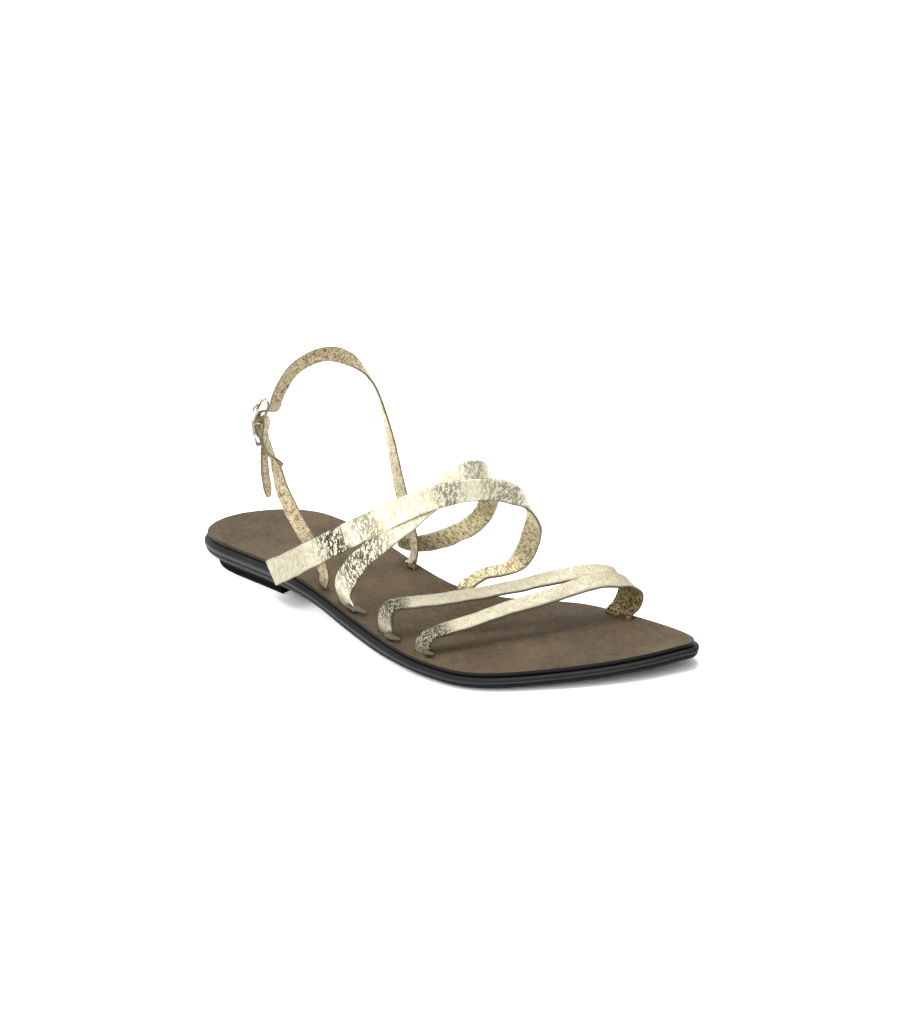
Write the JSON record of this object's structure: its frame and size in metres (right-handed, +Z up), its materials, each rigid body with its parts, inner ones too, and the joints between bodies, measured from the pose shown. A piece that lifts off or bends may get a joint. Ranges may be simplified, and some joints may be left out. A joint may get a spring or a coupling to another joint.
{
  "type": "gladiator sandal",
  "caption": "Flat strappy sandal for the right foot, with crossed instep straps, paired toe straps and a buckled ankle strap.",
  "frame": {"origin": "on the floor under the middle of the heel seat, on the flat underside of the heel lift", "axes": "+X from heel to toe, +Y to the inner side of the foot, +Z up from the floor"},
  "size_m": [0.2534, 0.0836, 0.1056],
  "materials": {
    "sole_rubber": "satin black, moulded",
    "insole_leather": "matt, brown, with fine streaks along the foot",
    "gold_leather": "crackled pale gold foil",
    "buckle_metal": "polished, pale gold plated"
  },
  "bodies": {
    "root": {"outsole": "sole_rubber", "heel_lift": "sole_rubber", "insole": "insole_leather", "instep_straps": "gold_leather", "toe_straps": "gold_leather", "buckle_frame": "buckle_metal", "buckle_prong": "buckle_metal"}
  },
  "joints": []
}
